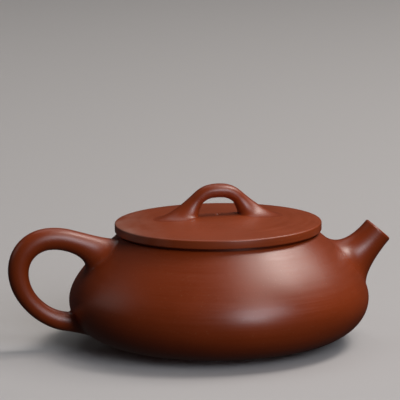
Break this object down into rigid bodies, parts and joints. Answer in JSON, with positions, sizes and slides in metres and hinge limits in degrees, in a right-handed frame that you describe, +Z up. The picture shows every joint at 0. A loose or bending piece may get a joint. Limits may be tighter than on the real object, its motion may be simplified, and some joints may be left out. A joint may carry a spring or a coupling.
{
  "type": "yixing clay teapot",
  "caption": "Low, broad unglazed red clay teapot with a loop handle, a short conical spout and a flat lift-off lid with a bridge-shaped knob.",
  "frame": {"origin": "under the middle of the teapot's overall box, on the surface that it stands on", "axes": "+X from the handle towards the spout, +Z up, +Y to the left of someone who looks along the spout"},
  "size_m": [0.1552, 0.12, 0.0644],
  "materials": {
    "pot_clay": "satin, burnished unglazed red stoneware",
    "lid_clay": "satin, burnished unglazed red stoneware",
    "inner_clay": "matt unglazed red stoneware",
    "foot_clay": "matt unglazed red stoneware"
  },
  "bodies": {
    "pot": {"body_wall": "pot_clay", "base_disc": "pot_clay", "shoulder_disc": "pot_clay", "mouth_ring": "pot_clay", "spout": "pot_clay", "strainer": "inner_clay", "handle": "pot_clay", "foot_1": "foot_clay", "foot_2": "foot_clay", "foot_3": "foot_clay"},
    "lid_seat": {"lid_flange": "inner_clay"},
    "lid": {"lid_plate": "lid_clay", "lid_dome": "lid_clay", "lid_knob": "lid_clay"}
  },
  "joints": [
    {"name": "lid_lift", "type": "slide", "parent": "pot", "child": "lid_seat", "axis": [0, 0, 1], "range_m": [0, 0.06]},
    {"name": "lid_turn", "type": "hinge", "parent": "lid_seat", "child": "lid", "pos_m": [0.0071, 0, 0.0459], "axis": [0, 0, 1], "continuous": true}
  ]
}
